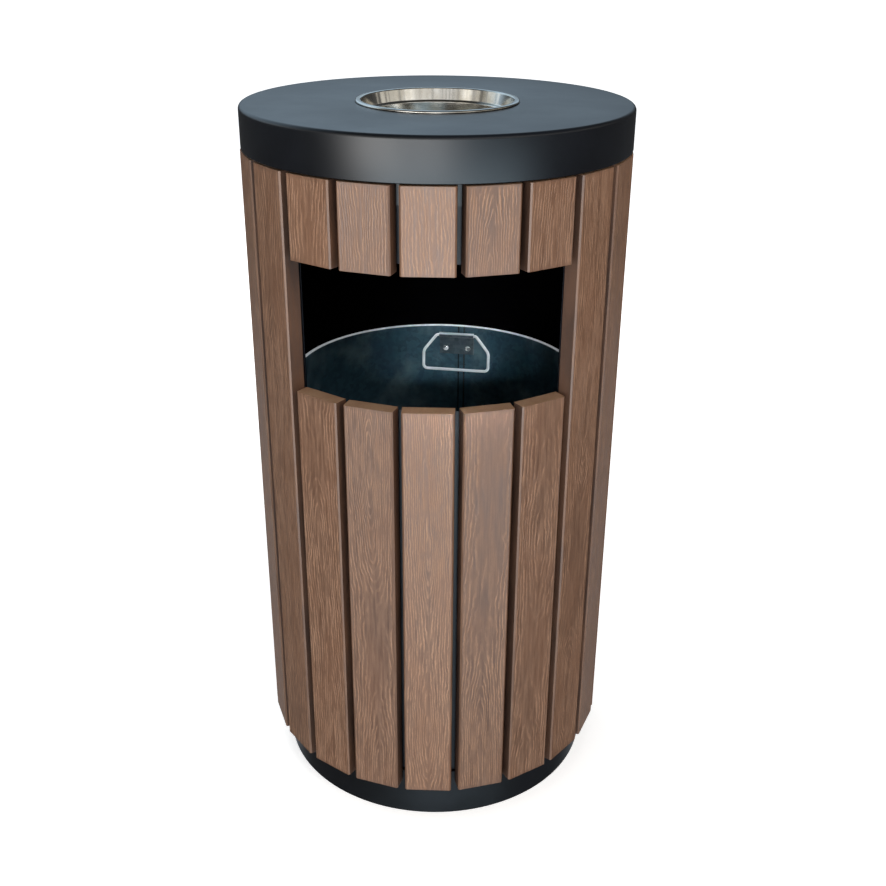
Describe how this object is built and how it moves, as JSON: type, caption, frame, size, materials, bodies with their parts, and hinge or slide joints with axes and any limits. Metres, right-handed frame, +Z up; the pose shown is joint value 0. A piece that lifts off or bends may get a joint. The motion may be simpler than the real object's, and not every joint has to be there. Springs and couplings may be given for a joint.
{
  "type": "litter bin",
  "caption": "Round street litter bin with vertical plank cladding, front throw-in window, lift-off steel lid with ashtray bowl, and lift-out galvanised liner.",
  "frame": {"origin": "centre of the underside, on the surface that the bin stands on", "axes": "+Z up along the bin's axis; the throw-in window faces -Y; +X to the right of someone facing the window"},
  "size_m": [0.403, 0.4026, 0.7732],
  "materials": {
    "powder_coat": "satin black powder coat",
    "plank": "embossed wood grain, matt",
    "screw_zinc": "zinc plated",
    "polished_steel": "polished stainless steel",
    "galvanised": "dark galvanised sheet",
    "galvanised_bracket": "dull galvanised",
    "rim_wire": "bright galvanised",
    "handle_zinc": "bright zinc"
  },
  "bodies": {
    "bin_body": {"shell": "powder_coat", "base_band": "powder_coat", "upper_band": "powder_coat", "base_plate": "powder_coat", "liner_guides": "powder_coat", "slat_lower_1": "plank", "slat_lower_2": "plank", "slat_lower_3": "plank", "slat_lower_4": "plank", "slat_lower_5": "plank", "slat_upper_1": "plank", "slat_upper_2": "plank", "slat_upper_3": "plank", "slat_upper_4": "plank", "slat_upper_5": "plank", "slat_full_01": "plank", "slat_full_02": "plank", "slat_full_03": "plank", "slat_full_04": "plank", "slat_full_05": "plank", "slat_full_06": "plank", "slat_full_07": "plank", "slat_full_08": "plank", "slat_full_09": "plank", "slat_full_10": "plank", "slat_full_11": "plank", "slat_full_12": "plank", "slat_full_13": "plank", "slat_full_14": "plank", "slat_full_15": "plank", "slat_full_16": "plank", "slat_screws_base": "screw_zinc", "slat_screws_middle": "screw_zinc", "slat_screws_window": "screw_zinc", "slat_screws_top": "screw_zinc", "slat_spacers": "screw_zinc"},
    "lid": {"lid_cap": "powder_coat", "lid_locating_ring": "powder_coat"},
    "ashtray": {"ashtray_bowl": "polished_steel"},
    "liner": {"liner_wall": "galvanised", "liner_floor": "galvanised", "liner_rim_bead": "rim_wire", "liner_lock_seam": "galvanised", "handle_bracket_rear": "galvanised_bracket", "handle_rivets_rear": "handle_zinc", "handle_bracket_front": "galvanised_bracket", "handle_rivets_front": "handle_zinc"},
    "rear_handle": {"handle_rear": "handle_zinc"},
    "front_handle": {"handle_front": "handle_zinc"}
  },
  "joints": [
    {"name": "lid_lift", "type": "slide", "parent": "bin_body", "child": "lid", "axis": [0, 0, 1], "range_m": [0, 0.12]},
    {"name": "ashtray_lift", "type": "slide", "parent": "lid", "child": "ashtray", "axis": [0, 0, 1], "range_m": [0, 0.08]},
    {"name": "liner_lift", "type": "slide", "parent": "bin_body", "child": "liner", "axis": [0, 0, 1], "range_m": [0, 0.24]},
    {"name": "rear_handle_swing", "type": "hinge", "parent": "liner", "child": "rear_handle", "pos_m": [0.01899, 0.15033, 0.465], "axis": [-0.9921, 0.1253, 0], "range_deg": [0, 150]},
    {"name": "front_handle_swing", "type": "hinge", "parent": "liner", "child": "front_handle", "pos_m": [-0.01899, -0.15033, 0.465], "axis": [0.9921, -0.1253, 0], "range_deg": [0, 150]}
  ]
}
